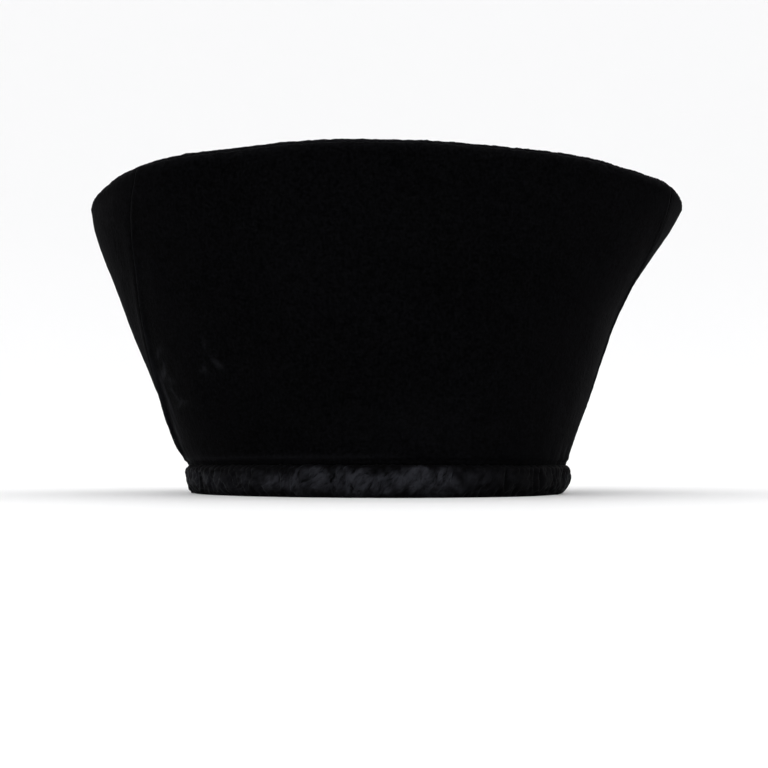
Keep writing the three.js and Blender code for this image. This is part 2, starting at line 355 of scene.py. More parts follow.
# %% [markdown]
# ## What the needle and the nap leave on the wall
# Four things shape the wall close up. The foundation is gently wavy. The front panel's edge is
# folded and stands up as a welt along the slanting seam, and the back panel dips under it. The
# stitching that holds the roll leaves a ditch, dimpled at each stitch, under a low line. And the
# pile is crushed in a few places, most of them beside the seam on the wearer's right. Sculpting
# could do all this, but a formula keeps each line where it belongs when a size changes. So a rise
# or a ditch is a row with the height, place and width of a bell, and unevenness is a row with the
# height, cell and seed of a drift, all in millimetres. The crush marks were charted from the
# photograph: where each lies, how long and wide it is and which way it runs, at its real size.

# %% Where the seams run
SEAM_FOOT, SEAM_HEAD, SEAM_SLANT = 90, 55, 30


def seam_bearing(up):
    """The ridge seam slants from the side at the foot towards the front at the rim."""
    return mix(SEAM_FOOT, SEAM_HEAD, up)


def beside_seam(bearing, up):
    """Millimetres from the nearest ridge seam, square to it and positive on the front panel."""
    radius = mix(FOOT_HALF[0], RIM_HALF[0], up)
    degrees = seam_bearing(up) - np.abs(bearing)
    return np.radians(degrees) * radius * math.cos(math.radians(SEAM_SLANT))


print("seam leaves the side at", SEAM_FOOT, "and reaches the rim at", SEAM_HEAD, "degrees")

# %% Waves and pile
WAVES = [(0.8, 52, 11), (0.25, 19, 12)]
TUFTS = [(0.1, 3.1, 21), (0.11, 1.3, 22)]
MORE_TUFTS_AT_BEND = 2.5


def waves(points):
    """The foundation's long soft waves, with shorter ones on them, in millimetres."""
    return layers(points, WAVES)


def pile(points, bend=0):
    """The pile's tufts at the scale of the grid, in millimetres. They show most where the cloth
    bends, which opens the pile: bend is 1 at the rim and 0 elsewhere."""
    return layers(points, TUFTS) * (1 + MORE_TUFTS_AT_BEND * bend)


for what, rows in (("waves", WAVES), ("tufts", TUFTS)):
    print(what, "reach about", round(sum(row[0] for row in rows), 2), "mm")

# %% The seam's ridge, welt and ditch
SEAM_FADE, SEAM_AT_ROLL, CLEAR_OF_ROLL = 0.9, 0.25, 12
RIDGE = [(1.0, 0, 6.5)]
RIDGE_PULLS, RIDGE_PULLS_WIDE = [(0.3, 8, 23)], 10
WELT_INSET, WELT_WIDE = 1.9, 1.5
WELT = [(1.5, WELT_INSET, WELT_WIDE), (-0.7, 0, 0.7)]
DITCH = [(0.35, -4.2, 2.0), (-0.9, 0, 1.3)]


def seam_relief(points, bearing, up):
    """A low ridge on both sides of the seam, where the thread pulls the cloth a little, the front
    panel's folded welt on top of it, and the ditch that the back panel makes beside it. All fade
    towards the rim, and at the foot, where the roll's stitching flattens them."""
    away = beside_seam(bearing, up)
    fade = (1 - SEAM_FADE * up) * mix(SEAM_AT_ROLL, 1, smooth_step(0, CLEAR_OF_ROLL, up * WALL_TALL))
    ridge = bells(away, RIDGE) + layers(points, RIDGE_PULLS) * bell(away, RIDGE_PULLS_WIDE)
    return fade * (ridge + np.where(away > 0, bells(away, WELT), bells(away, DITCH)))


print("the welt stands", WELT[0][0], "mm out of the wall at its foot")

# %% The stitching above the roll
STITCH_PITCH, STITCH_HIGH, STITCH_WIDE = 3.4, 1.9, 0.7
THREAD_DEEP, STITCH_DEEP = 0.25, 0.3
LINE_HIGH, LINE_WIDE = 3.4, 1.2
LOW_LINE = [(0.25, LINE_HIGH, LINE_WIDE)]
DRAWN_IN = [(-0.9, -1, 1.4)]
FOOT_PULLS, PULLS_HIGH, PULLS_TALL = [(0.3, 6, 24)], 4, 7
PULLS_UPRIGHT = [1, 1, 0.3]


def foot_relief(points, bearing, up):
    """The stitching that holds the roll: a ditch above it, dimpled at each stitch, with a low
    line over it, the cloth drawn in below, and short pulls in the wall above."""
    high = up * WALL_TALL
    along = np.radians(bearing) * FOOT_HALF.mean()
    stitch = 0.5 + 0.5 * np.cos(2 * math.pi * along / STITCH_PITCH)
    ditch = (THREAD_DEEP + STITCH_DEEP * stitch) * bell(high - STITCH_HIGH, STITCH_WIDE)
    pulls = layers(points * PULLS_UPRIGHT, FOOT_PULLS) * bell(high - PULLS_HIGH, PULLS_TALL)
    return bells(high, LOW_LINE) - ditch + pulls + bells(high, DRAWN_IN)


print("about", round(2 * math.pi * FOOT_HALF.mean() / STITCH_PITCH), "stitches hold the roll")

# %% Crush marks
CRUSH_MARKS = table("bearing height long wide lean light", [
    (-69.6, 65.0, 13, 2.4, 12, 0.22),
    (-70.0, 58.6, 9, 2.2, 20, 0.25),
    (-71.2, 56.0, 9, 2.6, 25, 0.42),
    (-68.6, 52.0, 8, 2.4, -8, 0.22),
    (-69.3, 46.2, 8, 2.2, -50, 0.3),
    (-67.4, 41.5, 14, 2.0, 8, 0.18),
    (-75.6, 43.5, 24, 3.0, 84, 0.32),
    (-79.0, 32.0, 18, 3.0, 74, 0.3),
    (-81.6, 21.0, 20, 3.4, 70, 0.36),
    (-82.3, 15.8, 9, 2.2, -15, 0.25),
    (-49.4, 65.5, 4.5, 2.2, 80, 0.16),
    (-47.2, 57.4, 6, 2.8, -50, 0.24),
    (-52.4, 55.2, 6, 2.4, 15, 0.14),
    (58.5, 22.0, 5, 2.2, 40, 0.25),
])
MARKS_LIGHT = 0.9
SWAY_LEVEL = [(1.6, 7, 35), (0.9, 3, 36)]
SWAY_RISE = [(1.6, 7, 37), (0.9, 3, 38)]


def marks_on(points, bearing):
    """How light each mark makes the nap: a bell along its length times one across it, both in
    millimetres on the cloth, turned by the mark's lean. Noise bends the marks a little."""
    reach = np.linalg.norm(points[..., :2], axis=-1)
    sway = layers(points, SWAY_LEVEL), layers(points, SWAY_RISE)
    total = np.zeros(bearing.shape)
    for where, height, long, wide, lean, light in zip(*CRUSH_MARKS.values()):
        level = np.radians(bearing - where) * reach + sway[0]
        rise = points[..., 2] - height + sway[1]
        c, s = math.cos(math.radians(lean)), math.sin(math.radians(lean))
        total += light * bell(level * c + rise * s, long / 2) * bell(rise * c - level * s, wide / 2)
    return MARKS_LIGHT * total


print(len(CRUSH_MARKS["bearing"]), "crush marks")

# %% The nap of the walls, with painted highlights
TRACE, TRACE_DRIFTS = 0.024, [(0.006, 26, 33), (0.004, 5, 34)]
# Painted highlight over the rim's bend: its strength on the wall and on the crown, then its place, width
# and drifts.
RIM_HIGHLIGHT, CROWN_RIM_HIGHLIGHT = 0.025, 0.08
HIGHLIGHT_AT, HIGHLIGHT_WIDE, HIGHLIGHT_DRIFTS = 1, 2.5, [(0.7, 4, 39)]
WHOLE, BREAKS = 0.7, [(0.5, 3.5, 31), (0.3, 9, 32)]
# The seam's folded edge is lighter: partly crushed nap, partly painted highlight where the welt catches
# the light, most on the lit wearer's right.
SEAM_LIGHT_LEFT, SEAM_LIGHT_RIGHT = 0.1, 0.4
RIGHT_FROM, RIGHT_TO = 20, 60
BROW_LIGHT, BROW_BEARING, BROW_WIDE, BROW_HIGH, BROW_TALL = 0.02, 6, 24, 12, 18
# Painted highlight on the raised low line over the stitching, on the lit right half.
LINE_HIGHLIGHT, LINE_FROM, LINE_TO = 0.05, 5, -20


def nap_trace_and_rim_highlight(points, edge, rim_highlight):
    """The little that the nap varies everywhere, and a painted highlight over the bend at the rim, as
    strong as the third argument says, where edge is the distance from the crown's seam in millimetres."""
    rim_highlight = rim_highlight * bell(edge - HIGHLIGHT_AT, HIGHLIGHT_WIDE) * (1 + layers(points, HIGHLIGHT_DRIFTS))
    return TRACE + layers(points, TRACE_DRIFTS) + rim_highlight


def nap_of(points, bearing, up, edge):
    """The nap's lightness, from 0 for standing pile to 1 for crushed: the marks, the folded edge of the
    seam, crushed and with a painted highlight where the welt catches the light, most of all on the lit
    wearer's right, a faint zone above the brow, a painted highlight on the low line over the stitching
    on the right half, and the trace with the painted highlight at the rim's bend. All but the last two
    are broken up by noise."""
    high = up * WALL_TALL
    broken = np.clip(WHOLE + layers(points, BREAKS), 0, None)
    fold = bell(beside_seam(bearing, up) - WELT_INSET, WELT_WIDE) * (1 - up) ** 2
    right = smooth_step(RIGHT_FROM, RIGHT_TO, -bearing)
    seam = mix(SEAM_LIGHT_LEFT, SEAM_LIGHT_RIGHT, right) * fold
    brow = BROW_LIGHT * bell(bearing - BROW_BEARING, BROW_WIDE) * bell(high - BROW_HIGH, BROW_TALL)
    line = LINE_HIGHLIGHT * smooth_step(LINE_FROM, LINE_TO, bearing) * bell(high - LINE_HIGH, LINE_WIDE)
    crush_and_highlight = (seam + brow + marks_on(points, bearing)) * broken
    return np.clip(crush_and_highlight + line + nap_trace_and_rim_highlight(points, edge, RIM_HIGHLIGHT), 0, 1)


print("standing pile has a nap of about", TRACE, "and crushed pile up to 1")

# %% [markdown]
# ## The two panels
# Both panels are the same patch of wall between two seams, so one function makes either. Its
# columns run across from seam to seam and its rows from the roll up and over the rim's corner, and
# rows lie closer together at the foot, where the stitched lines are a millimetre wide.

# %% Panels
SPACING = 1.0
FRONT_COLUMNS, BACK_COLUMNS = 320, 540
FOOT_SUNK, FOOT_FINE, FOOT_BAND = 1.2, 0.45, 5.5
RIM_TURN = math.radians(44.6)
GAP = 0.3
BEND_WIDE = 4
EDGE_SUNK = [(-0.25, 0, 1)]


def panel_rows():
    """Shares of the height, fine at the foot and then even, and the rim's turns after them. Their
    number is one more than a multiple of COARSE."""
    fine = np.arange(-FOOT_SUNK, FOOT_BAND, FOOT_FINE) / WALL_TALL
    turns = np.linspace(0, RIM_TURN, round(RIM_ROUND * RIM_TURN / SPACING) + 1)[1:]
    even_count = round((WALL_TALL - FOOT_BAND) / SPACING)
    even_count -= (len(fine) + even_count + len(turns) - 1) % COARSE
    even = np.linspace(FOOT_BAND / WALL_TALL, 1, even_count)
    ups = np.concatenate([fine, even, np.ones_like(turns)])
    return ups, np.concatenate([np.zeros(len(fine) + even_count), turns])


def panel(name, bearing_at, columns):
    """A panel of the wall. bearing_at gives the bearing at a share across and a share up."""
    ups, turns = panel_rows()
    across, up = np.meshgrid(np.linspace(0, 1, columns + 1), ups, indexing="ij")
    turn = np.broadcast_to(turns, up.shape)
    bearing = bearing_at(across, up)
    wrapped = (bearing + 180) % 360 - 180
    base = wall_points(wrapped, up, turn)
    normal = square_to(base)
    edge = (turns[-1] - turn) * RIM_ROUND + (1 - up) * WALL_TALL
    relief = waves(base) + seam_relief(base, wrapped, up) + foot_relief(base, wrapped, up)
    relief = relief + pile(base, bell(edge, BEND_WIDE)) + bells(edge, EDGE_SUNK)
    outer = base + normal * relief[..., None]
    inner = base - normal * CLOTH
    return sheet_object(name, outer, inner, {"nap": nap_of(base, wrapped, up, edge)})


def seam_edge(up, side):
    """A panel's edge: the seam's bearing, less or more half the gap between the panels."""
    half_gap = GAP / 2 / math.cos(math.radians(SEAM_SLANT))
    return seam_bearing(up) + side * np.degrees(half_gap / mix(FOOT_HALF[0], RIM_HALF[0], up))


def front_bearing(across, up):
    """From the seam on the wearer's right, past the front, to the one on the left."""
    return mix(-seam_edge(up, -1), seam_edge(up, -1), across)


def back_bearing(across, up):
    """From the seam on the wearer's left, past the back, to the one on the right."""
    return mix(seam_edge(up, 1), 360 - seam_edge(up, 1), across)


velvet_front = panel("velvet_front", front_bearing, FRONT_COLUMNS)
velvet_back = panel("velvet_back", back_bearing, BACK_COLUMNS)

# %% [markdown]
# ## The crown
# The crown is a round of velvet that sags a little between the rims. It is sewn edge to edge with
# the wall, so its rim starts in the same soft corner, a hair away from the panels. Its rows run
# inwards to one middle point. A grid of squares would leave steps at the round seam, and rings
# follow it.

# %% Crown
CROWN_COLUMNS = 720
CROWN_TURN = math.radians(46.2)
CORNER_SPACING, RING_SPACING = 0.8 * SPACING, 1.6 * SPACING
GATHER_DEEP, GATHER_DEGREES, GATHER_LONG, GATHER_SEED = 0.25, 5, 30, 41
GATHERS_REACH = 14


def crown_points(bearing, share):
    """The flat of the crown: the rim's inner line drawn in towards the middle by the share, and
    lower by the sag times one less the share squared."""
    edge = wall_points(bearing, np.ones_like(bearing), np.full_like(bearing, math.pi / 2))
    x = mix(CROWN_LEAN, edge[..., 0], share)
    return np.stack([x, edge[..., 1] * share, HEIGHT - CROWN_SAG * (1 - share * share)], -1)


def gathers(bearing, edge):
    """Where the seam takes in the crown's fullness: noise with cells of a few degrees by a few
    centimetres, which fades away from the seam."""
    cells = np.stack([bearing / GATHER_DEGREES + 0 * edge, edge / GATHER_LONG, 0 * edge], -1)
    return GATHER_DEEP * noise(cells, GATHER_SEED, 360 // GATHER_DEGREES) * bell(edge, GATHERS_REACH)


def crown_object(name, outer, inner, nap):
    """Closes the two sides of the crown at its middle and at its rim."""
    inner = inner[::COARSE, ::COARSE]
    numbers = np.arange(outer[..., 0].size).reshape(outer.shape[:2])
    inner_numbers = numbers.size + 1 + np.arange(inner[..., 0].size).reshape(inner.shape[:2])
    top, under = numbers.size, inner_numbers.max() + 1
    fan = np.stack([numbers[:, -1], np.roll(numbers[:, -1], -1), np.full(len(numbers), top)], -1)
    last = inner_numbers[:, -1]
    inner_fan = np.stack([last, np.full(len(last), under), np.roll(last, -1)], -1)
    faces = [
        quads(numbers, around=1),
        quads(inner_numbers, around=1)[:, ::-1],
        np.concatenate([fan, inner_fan, zip_edges(numbers[:, 0], inner_numbers[:, 0])]),
    ]
    middle = outer[:, -1].mean(axis=0, keepdims=True)
    inner_middle = inner[:, -1].mean(axis=0, keepdims=True)
    points = np.concatenate([outer.reshape(-1, 3), middle, inner.reshape(-1, 3), inner_middle]) + shift
    nap = np.concatenate([nap.ravel(), np.zeros(len(points) - nap.size)])
    return mesh_object(name, points, faces, {"nap": nap})


def crown(name):
    """The corner's rows and then the rings, closed by a middle point on each side."""
    corner_steps = round(RIM_ROUND * (math.pi / 2 - CROWN_TURN) / CORNER_SPACING) + 1
    turns = np.linspace(CROWN_TURN, math.pi / 2, corner_steps)
    ring_steps = round(RIM_HALF.mean() / RING_SPACING) // COARSE * COARSE
    shares = np.linspace(1, 0, ring_steps + 1)[1:-1]
    column = np.linspace(-180, 180, CROWN_COLUMNS, endpoint=False)
    bearing, turn = np.meshgrid(column, turns, indexing="ij")
    corner = wall_points(bearing, np.ones_like(bearing), turn)
    bearing_flat, share = np.meshgrid(column, shares, indexing="ij")
    base = np.concatenate([corner, crown_points(bearing_flat, share)], axis=1)
    normal = square_to(base, around=1)
    edge = np.linalg.norm(base - base[:, :1], axis=-1)
    relief = waves(base) + pile(base, bell(edge, BEND_WIDE)) + gathers(bearing[:, :1], edge)
    relief = relief + bells(edge, EDGE_SUNK)
    outer = base + normal * relief[..., None]
    # The crown's nap is the trace and a painted highlight over the rim's bend.
    nap = nap_trace_and_rim_highlight(base, edge, CROWN_RIM_HIGHLIGHT)
    return crown_object(name, outer, base - normal * CLOTH, nap)


velvet_crown = crown("velvet_crown")

# %% [markdown]
# ## The roll round the head opening
# The roll is a bias strip of velvet folded over a soft core and sewn round the head opening. It is
# a padded piece. The strip is a little longer than the edge that it binds, most of all round the
# nape, and that spare length is what makes it gather. Puckers can be drawn with a sine wave, but
# they look drawn. So the roll is made as the real one is: a tube of the right section is given
# cloth that is too long for it and a little pressure inside, it is held where it is stitched to
# the wall and where it rests on the table, and Blender's cloth solver finds the folds.

# %% The roll's section, carried round the opening
ROLL_FLAT = 5
ROLL_SECTION = table("across up", [
    (-ROLL_FLAT / 2, 0),
    (ROLL_FLAT / 2, 0),
    (0.43 * ROLL_THICK, 0.16 * ROLL_TALL),
    (0.5 * ROLL_THICK, 0.42 * ROLL_TALL),
    (0.49 * ROLL_THICK, 0.72 * ROLL_TALL),
    (0.4 * ROLL_THICK, ROLL_TALL),
    (0.02 * ROLL_THICK, ROLL_TALL),
    (-0.3 * ROLL_THICK, 0.93 * ROLL_TALL),
    (-0.5 * ROLL_THICK, 0.6 * ROLL_TALL),
    (-0.45 * ROLL_THICK, 0.2 * ROLL_TALL),
])
ROLL_COLUMNS, ROLL_ROWS = 360, 26
SECTION_STEPS = 2000


def rounded(points, count):
    """A smooth closed run of points through the given ones, along the first axis: at each step a
    Catmull-Rom cubic of the four round it."""
    place = np.arange(count) * len(points) / count
    start = np.floor(place).astype(int)
    t = (place - start).reshape(-1, *[1] * (points.ndim - 1))
    a, b, c, d = (points[(start + step) % len(points)] for step in (-1, 0, 1, 2))
    cubic = (3 * b - a - 3 * c + d) * t ** 3
    return 0.5 * (2 * b + (c - a) * t + (2 * a - 5 * b + 4 * c - d) * t ** 2 + cubic)


def even_section(count):
    """The section's curve at even steps along its length, and that length."""
    dense = rounded(np.stack([ROLL_SECTION["across"], ROLL_SECTION["up"]], -1), SECTION_STEPS)
    steps = np.linalg.norm(np.roll(dense, -1, axis=0) - dense, axis=1)
    along = np.concatenate([[0], np.cumsum(steps)])
    nearest = np.interp(np.arange(count) * along[-1] / count, along[:-1], np.arange(SECTION_STEPS))
    return dense[nearest.round().astype(int)], along[-1]


def carried_round(section, count):
    """The section at each bearing, standing square to the opening's plan, and the bearings."""
    bearing = np.linspace(-180, 180, count, endpoint=False)[:, None]
    angle = np.radians(bearing)
    half = OPENING_HALF + ROLL_THICK / 2
    plan = read(PLAN, "bearing", bearing, "opening")
    centre = np.stack([half[0] * plan * np.sin(angle), -half[1] * plan * np.cos(angle), 0 * angle], -1)
    radial = np.stack([np.sin(angle) * half[1], -np.cos(angle) * half[0], 0 * angle], -1)
    radial /= np.linalg.norm(radial, axis=-1, keepdims=True)
    return centre + radial * section[:, :1] + [0, 0, 1] * section[:, 1:], bearing


roll_section, roll_girth = even_section(ROLL_ROWS)
roll_base, roll_bearing = carried_round(roll_section, ROLL_COLUMNS)
roll_around = np.linalg.norm(np.diff(roll_base[:, 0], axis=0), axis=-1).sum()
print(f"the strip is {roll_around:.0f} mm round and {roll_girth:.0f} mm across")

# %% Let the cloth solver gather it
SIM_SCALE = 10
SIM_FRAMES = 22
SIM_CAP = 2.4
STITCHED_FROM, STITCHED_TO = 11.4, 12.8
RESTS_FROM, RESTS_TO = 0.8, 0.2
SPARE = table("bearing length", [
    (-180, 0.17), (-105, 0.15), (-88, 0.07), (-60, 0.05),
    (-20, 0.06), (100, 0.05), (140, 0.12), (180, 0.17),
])
MOST_SPARE = 0.2
SPARE_DRIFTS = [(0.35, 16, 71)]


def weigh(piece, name, weights):
    """A vertex group from a weight for each point, rounded to hundredths."""
    group = piece.vertex_groups.new(name=name)
    rounded_weights = weights.ravel().round(2)
    for weight in np.unique(rounded_weights[rounded_weights > 0]):
        group.add(np.flatnonzero(rounded_weights == weight).tolist(), float(weight), "REPLACE")
    return group.name


def gathered(base, bearing):
    """The tube's points once its cloth has grown by the spare length. No point moves further than
    SIM_CAP millimetres, and none goes below the table."""
    numbers = np.arange(base[..., 0].size).reshape(base.shape[:2])
    big = base.reshape(-1, 3) * SIM_SCALE
    piece = mesh_object("roll_in_the_solver", big, [quads(numbers, around=2)], {})
    height = base[..., 2]
    stitched = smooth_step(STITCHED_FROM, STITCHED_TO, height)
    held = np.maximum(stitched, smooth_step(RESTS_FROM, RESTS_TO, height))
    spare = read(SPARE, "bearing", bearing, "length") * (1 + layers(base, SPARE_DRIFTS))
    cloth = piece.modifiers.new("cloth", "CLOTH")
    settings = cloth.settings
    settings.quality = 6
    settings.mass = 0.3
    settings.tension_stiffness = settings.compression_stiffness = 40
    settings.shear_stiffness = 10
    settings.bending_stiffness = 0.15
    settings.tension_damping = 10
    settings.vertex_group_mass = weigh(piece, "held", held)
    settings.vertex_group_shrink = weigh(piece, "tight", 1 - np.clip(spare / MOST_SPARE, 0, 1))
    settings.shrink_min, settings.shrink_max = -MOST_SPARE, 0
    settings.use_pressure = True
    settings.uniform_pressure_force = 2
    settings.effector_weights.gravity = 0
    cloth.collision_settings.use_collision = False
    cloth.point_cache.frame_start, cloth.point_cache.frame_end = 1, SIM_FRAMES
    for step in range(1, SIM_FRAMES + 1):
        bpy.context.scene.frame_set(step)
    solved = piece.evaluated_get(bpy.context.evaluated_depsgraph_get()).data
    moved = np.zeros(3 * len(big), np.float32)
    solved.vertices.foreach_get("co", moved)
    move = moved.reshape(base.shape) / (MM * SIM_SCALE) - base
    bpy.data.meshes.remove(piece.data)
    bpy.context.scene.frame_set(1)
    length = np.linalg.norm(move, axis=-1, keepdims=True)
    print(f"the cloth moved {length.mean():.2f} mm on average and {length.max():.2f} at most")
    points = base + move * np.minimum(1, SIM_CAP / np.maximum(length, 1e-6))
    points[..., 2] = np.maximum(points[..., 2], 0)
    return points


roll_cloth = gathered(roll_base, roll_bearing)

# %% [markdown]
# ## Crushed pile and painted sheen
# The solver's grid is too coarse for pile, so a finer one is read from it through the same smooth
# curve. Handling has crushed the pile of the whole roll. Where it lies down it looks light, in
# ragged patches, and a table says how much of it does so at each bearing: most from the side to
# past the middle of the brow, little on the wearer's left. That table is partly painted sheen: it is
# lightest where the key lamp falls. The material breaks these patches up into single streaks, and
# for that it needs to know how the cloth lies, so the roll gets a map of its flat strip in
# centimetres.

# %% The finished roll
FINER = 3
SHOULDER = [(0.8, 0.44, 0.06)]
ROLL_LUMPS = [(0.3, 9, 55), (0.16, 4, 56)]
PATCHES_LIGHT, PATCHES = 0.75, [(0.6, 10, 61), (0.5, 3.5, 62)]
RAGGED = [(2.4, 7, 63), (1.4, 2.2, 64)]
CRUSHED_FROM, CRUSHED_TO = 6, 9
SMOOTH_BELOW = 2.5
# The roll's lightness at each bearing: crushed pile and painted sheen, lightest where the key lamp
# falls.
CRUSH_AND_SHEEN = table("bearing share", [
    (-180, 0.35), (-110, 0.4), (-96, 0.5), (-70, 0.52), (-54, 0.34), (-42, 0.45),
    (-26, 0.85), (-8, 1.05), (9, 0.95), (15, 0.35), (24, 0.08), (50, 0.05),
    (62, 0.2), (72, 0.05), (84, 0.22), (120, 0.3), (180, 0.35),
])


def finer(grid, times):
    """A grid that closes both ways, read `times` as finely along both."""
    grid = rounded(grid, len(grid) * times)
    return rounded(grid.swapaxes(0, 1), grid.shape[1] * times).swapaxes(0, 1)


def roll_nap(points, bearing):
    """How far the pile lies crushed, with painted sheen: as much as the table says, in soft patches,
    ending raggedly below the stitching and fading towards the table."""
    share = read(CRUSH_AND_SHEEN, "bearing", bearing, "share") * (PATCHES_LIGHT + layers(points, PATCHES))
    height = points[..., 2] + layers(points, RAGGED)
    below_stitching = smooth_step(ROLL_TALL, CRUSHED_TO, height)
    return np.clip(share * below_stitching * smooth_step(0, CRUSHED_FROM, height), 0, 1)


def strip_map(columns, rows):
    """Each face corner's place on the flat strip, in centimetres. The strip is joined at the nape,
    so its map begins and ends there: the last column and row run on past the first, and no face
    spans the whole map."""
    column, row = np.meshgrid(np.arange(columns), np.arange(rows), indexing="ij")
    corners = [(column, row), (column + 1, row), (column + 1, row + 1), (column, row + 1)]
    size = np.array([roll_around / columns, roll_girth / rows]) / 10
    return np.stack([np.stack(corner, -1) * size for corner in corners], axis=2).reshape(-1, 2)


def roll(name):
    """The gathered tube on a finer grid, with lumps and pile along its normals."""
    base = finer(roll_cloth, FINER)
    bearing = np.linspace(-180, 180, len(base), endpoint=False)[:, None]
    girth = np.linspace(0, 1, base.shape[1], endpoint=False)
    relief = bells(girth, SHOULDER) + layers(base, ROLL_LUMPS) + pile(base)
    relief = relief * smooth_step(0, SMOOTH_BELOW, base[..., 2])
    points = base + square_to(base, around=2) * relief[..., None]
    points[..., 2] = np.maximum(points[..., 2], 0)
    numbers = np.arange(points[..., 0].size).reshape(points.shape[:2])
    marks = {"nap": roll_nap(base, bearing).ravel()}
    cloth_map = strip_map(*points.shape[:2])
    return mesh_object(name, points.reshape(-1, 3) + shift, [quads(numbers, around=2)], marks, cloth_map)


velvet_roll = roll("velvet_roll")

# %% [markdown]
# ## Black velvet
# Velvet looks black because its standing pile swallows light between the fibres. It only gleams
# where fibres are seen from the side, at the edges of the form, which is what the Sheen of the
# Principled shader does. Where the pile is crushed, light meets the fibres' flanks instead of
# their tips, so the same cloth turns lighter, bluish and a little smoother. The nap mark on each
# point says how crushed it is there. It also carries painted light: a painted highlight at the
# rim's bend, on the seam's welt and on the low line on the lit side, and painted sheen on the roll
# where the key lamp falls. Sheen is the same all over, so it is set on the shader.

# %% Node helpers
def add_node(tree, kind, inputs=None, **settings):
    """A node with settings and inputs. An input is a value, or another node's output to link."""
    node = tree.nodes.new(kind)
    for name, value in settings.items():
        setattr(node, name, value)
    for name, value in (inputs or {}).items():
        if isinstance(value, bpy.types.NodeSocket):
            tree.links.new(value, node.inputs[name])
        else:
            node.inputs[name].default_value = value
    return node


def mark_of(tree, name):
    """One of the piece's marks, as a number."""
    return add_node(tree, "ShaderNodeAttribute", attribute_name=name).outputs["Fac"]


def math_of(tree, operation, a, b):
    """A sum, a product and so on, of numbers or of other nodes' outputs."""
    return add_node(tree, "ShaderNodeMath", {0: a, 1: b}, operation=operation).outputs[0]


def between(tree, value, old, new):
    """A value carried from one range to another."""
    inputs = {"Value": value, "From Min": old[0], "From Max": old[1], "To Min": new[0], "To Max": new[1]}
    return add_node(tree, "ShaderNodeMapRange", inputs).outputs[0]


def blend(tree, share, a, b):
    """A colour between two."""
    node = add_node(tree, "ShaderNodeMix", {"Factor": share}, data_type="RGBA")
    for socket, value in ((node.inputs[6], a), (node.inputs[7], b)):
        if isinstance(value, bpy.types.NodeSocket):
            tree.links.new(value, socket)
        else:
            socket.default_value = (*value, 1)
    return node.outputs[2]


def new_material(name):
    """An empty material with its shader and output."""
    material = bpy.data.materials.new(name)
    material.use_nodes = True
    tree = material.node_tree
    tree.nodes.clear()
    shader = add_node(tree, "ShaderNodeBsdfPrincipled")
    add_node(tree, "ShaderNodeOutputMaterial", {"Surface": shader.outputs["BSDF"]})
    return material, tree, shader


# %% How the pile shows
FINE_TUFTS, FINE_SPAN, GRAIN = {"Scale": 800, "Detail": 4}, (0.3, 0.7), 0.03
LEAN_PATCHES, LEAN_SPAN, STREAK_LEANS = {"Scale": 70, "Detail": 1}, (0.42, 0.58), (58, 30)
STREAK_LONG, STREAK_WIDE, STREAK_SPAN = 0.25, 0.09, (0.34, 0.66)
STREAKS = {"Scale": 1, "Detail": 3, "Roughness": 0.6, "Distortion": 0.7}
FACETS, FACET_SHARE = {"Scale": 0.55, "Smoothness": 0.35}, 0.55
FACET_BENDS = {"Scale": 0.8, "Detail": 2}
LYING_TRACE, MOST_GAIN = 0.03, 1.75


def lying_pile(tree, flat, lean):
    """Pile that lies one way, from 0 for dark to 1 for light: streaks along its lean, and facets
    of crushed cloth, which are cells of a stretched and bent Voronoi pattern, each with its own
    lightness."""
    turned = add_node(tree, "ShaderNodeMapping", {
        "Vector": flat, "Rotation": (0, 0, math.radians(lean)), "Scale": (STREAK_LONG, STREAK_WIDE, 1),
    }, vector_type="TEXTURE").outputs[0]
    streaks = add_node(tree, "ShaderNodeTexNoise", {"Vector": turned, **STREAKS}).outputs["Fac"]
    bends = add_node(tree, "ShaderNodeTexNoise", {"Vector": turned, **FACET_BENDS}).outputs["Color"]
    bent = add_node(tree, "ShaderNodeVectorMath", {0: bends, 1: turned}, operation="ADD").outputs[0]
    facets = add_node(tree, "ShaderNodeTexVoronoi", {"Vector": bent, **FACETS}, feature="SMOOTH_F1")
    lightness = add_node(tree, "ShaderNodeSeparateColor", {"Color": facets.outputs["Color"]}).outputs[0]
    streaks = between(tree, streaks, STREAK_SPAN, (0, 1))
    parts = {"Factor": FACET_SHARE, "A": streaks, "B": lightness}
    return add_node(tree, "ShaderNodeMix", parts).outputs[0]


def standing_share(tree, place):
    """The nap mark, grained by the tufts, and the tufts."""
    tufts = add_node(tree, "ShaderNodeTexNoise", {"Vector": place, **FINE_TUFTS}).outputs["Fac"]
    grain = between(tree, tufts, FINE_SPAN, (-GRAIN, GRAIN))
    return math_of(tree, "ADD", mark_of(tree, "nap"), grain), tufts


def lying_share(tree, place):
    """The nap mark times streaks that lean one way in some places and another in others, and the
    streaks. They follow the piece's map of its cloth."""
    flat = add_node(tree, "ShaderNodeUVMap", uv_map=CLOTH_MAP).outputs["UV"]
    where = add_node(tree, "ShaderNodeTexNoise", {"Vector": place, **LEAN_PATCHES}).outputs["Fac"]
    where = between(tree, where, LEAN_SPAN, (0, 1))
    steep, low = (lying_pile(tree, flat, lean) for lean in STREAK_LEANS)
    streaks = add_node(tree, "ShaderNodeMix", {"Factor": where, "A": steep, "B": low}).outputs[0]
    gain = between(tree, streaks, (0.1, 0.9), (0, MOST_GAIN))
    nap = math_of(tree, "ADD", LYING_TRACE, mark_of(tree, "nap"))
    return math_of(tree, "MULTIPLY", nap, gain), streaks


print("streaks are", 10 * STREAK_LONG, "mm long and", 10 * STREAK_WIDE, "mm wide")

# %% Velvet
SHEEN_ROUGHNESS, SHEEN_TINT = 0.25, (0.9, 0.93, 1, 1)
PILE_BUMP = {"Strength": 0.4, "Distance": 0.6 * MM}


